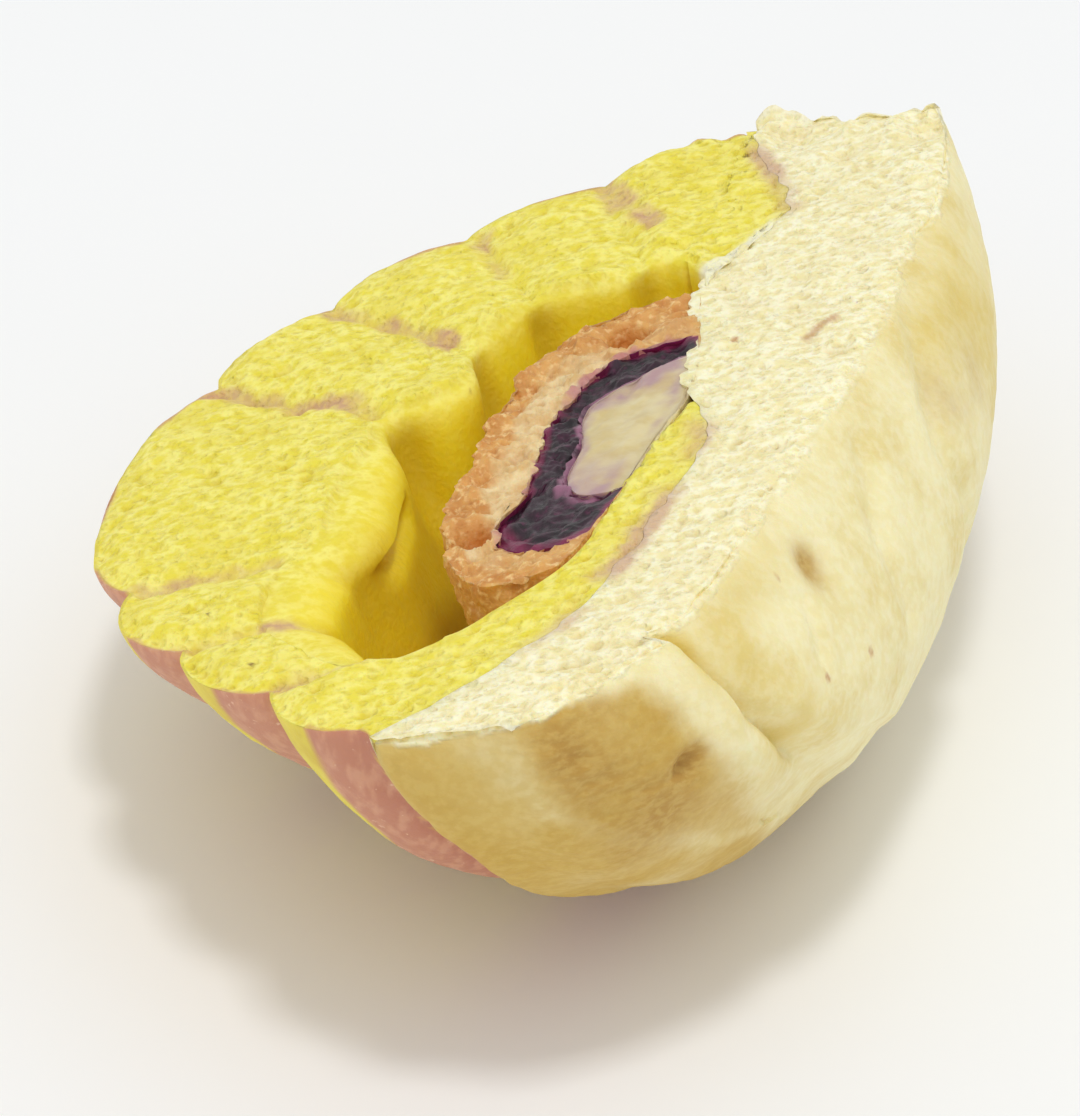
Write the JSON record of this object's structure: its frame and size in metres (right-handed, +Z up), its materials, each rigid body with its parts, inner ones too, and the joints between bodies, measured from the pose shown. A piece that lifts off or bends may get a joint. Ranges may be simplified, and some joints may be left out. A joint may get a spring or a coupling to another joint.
{
  "type": "filled brioche half",
  "caption": "Half of a filled brioche bun lying cut face up: coiled yellow dough with pink creases on a pale dough base, with sponge, dark fruit compote and cream in its hollow",
  "frame": {"origin": "on the floor under the middle of the piece's box, as it lies", "axes": "+Z up; +Y runs along the cut towards the far end of the bun, the longest side; +X is the side of the bun's base, -X the side of its crown; the cut face looks up and dips a little towards the crown"},
  "size_m": [0.0686, 0.101, 0.0352],
  "materials": {
    "white_dough": "matte",
    "yellow_dough": "matte",
    "sponge": "matte",
    "compote": "gloss",
    "cream": "satin"
  },
  "bodies": {
    "root": {"white_dough": "white_dough", "yellow_dough": "yellow_dough", "sponge_shell": "sponge", "fruit_compote": "compote", "cream": "cream"}
  },
  "joints": []
}
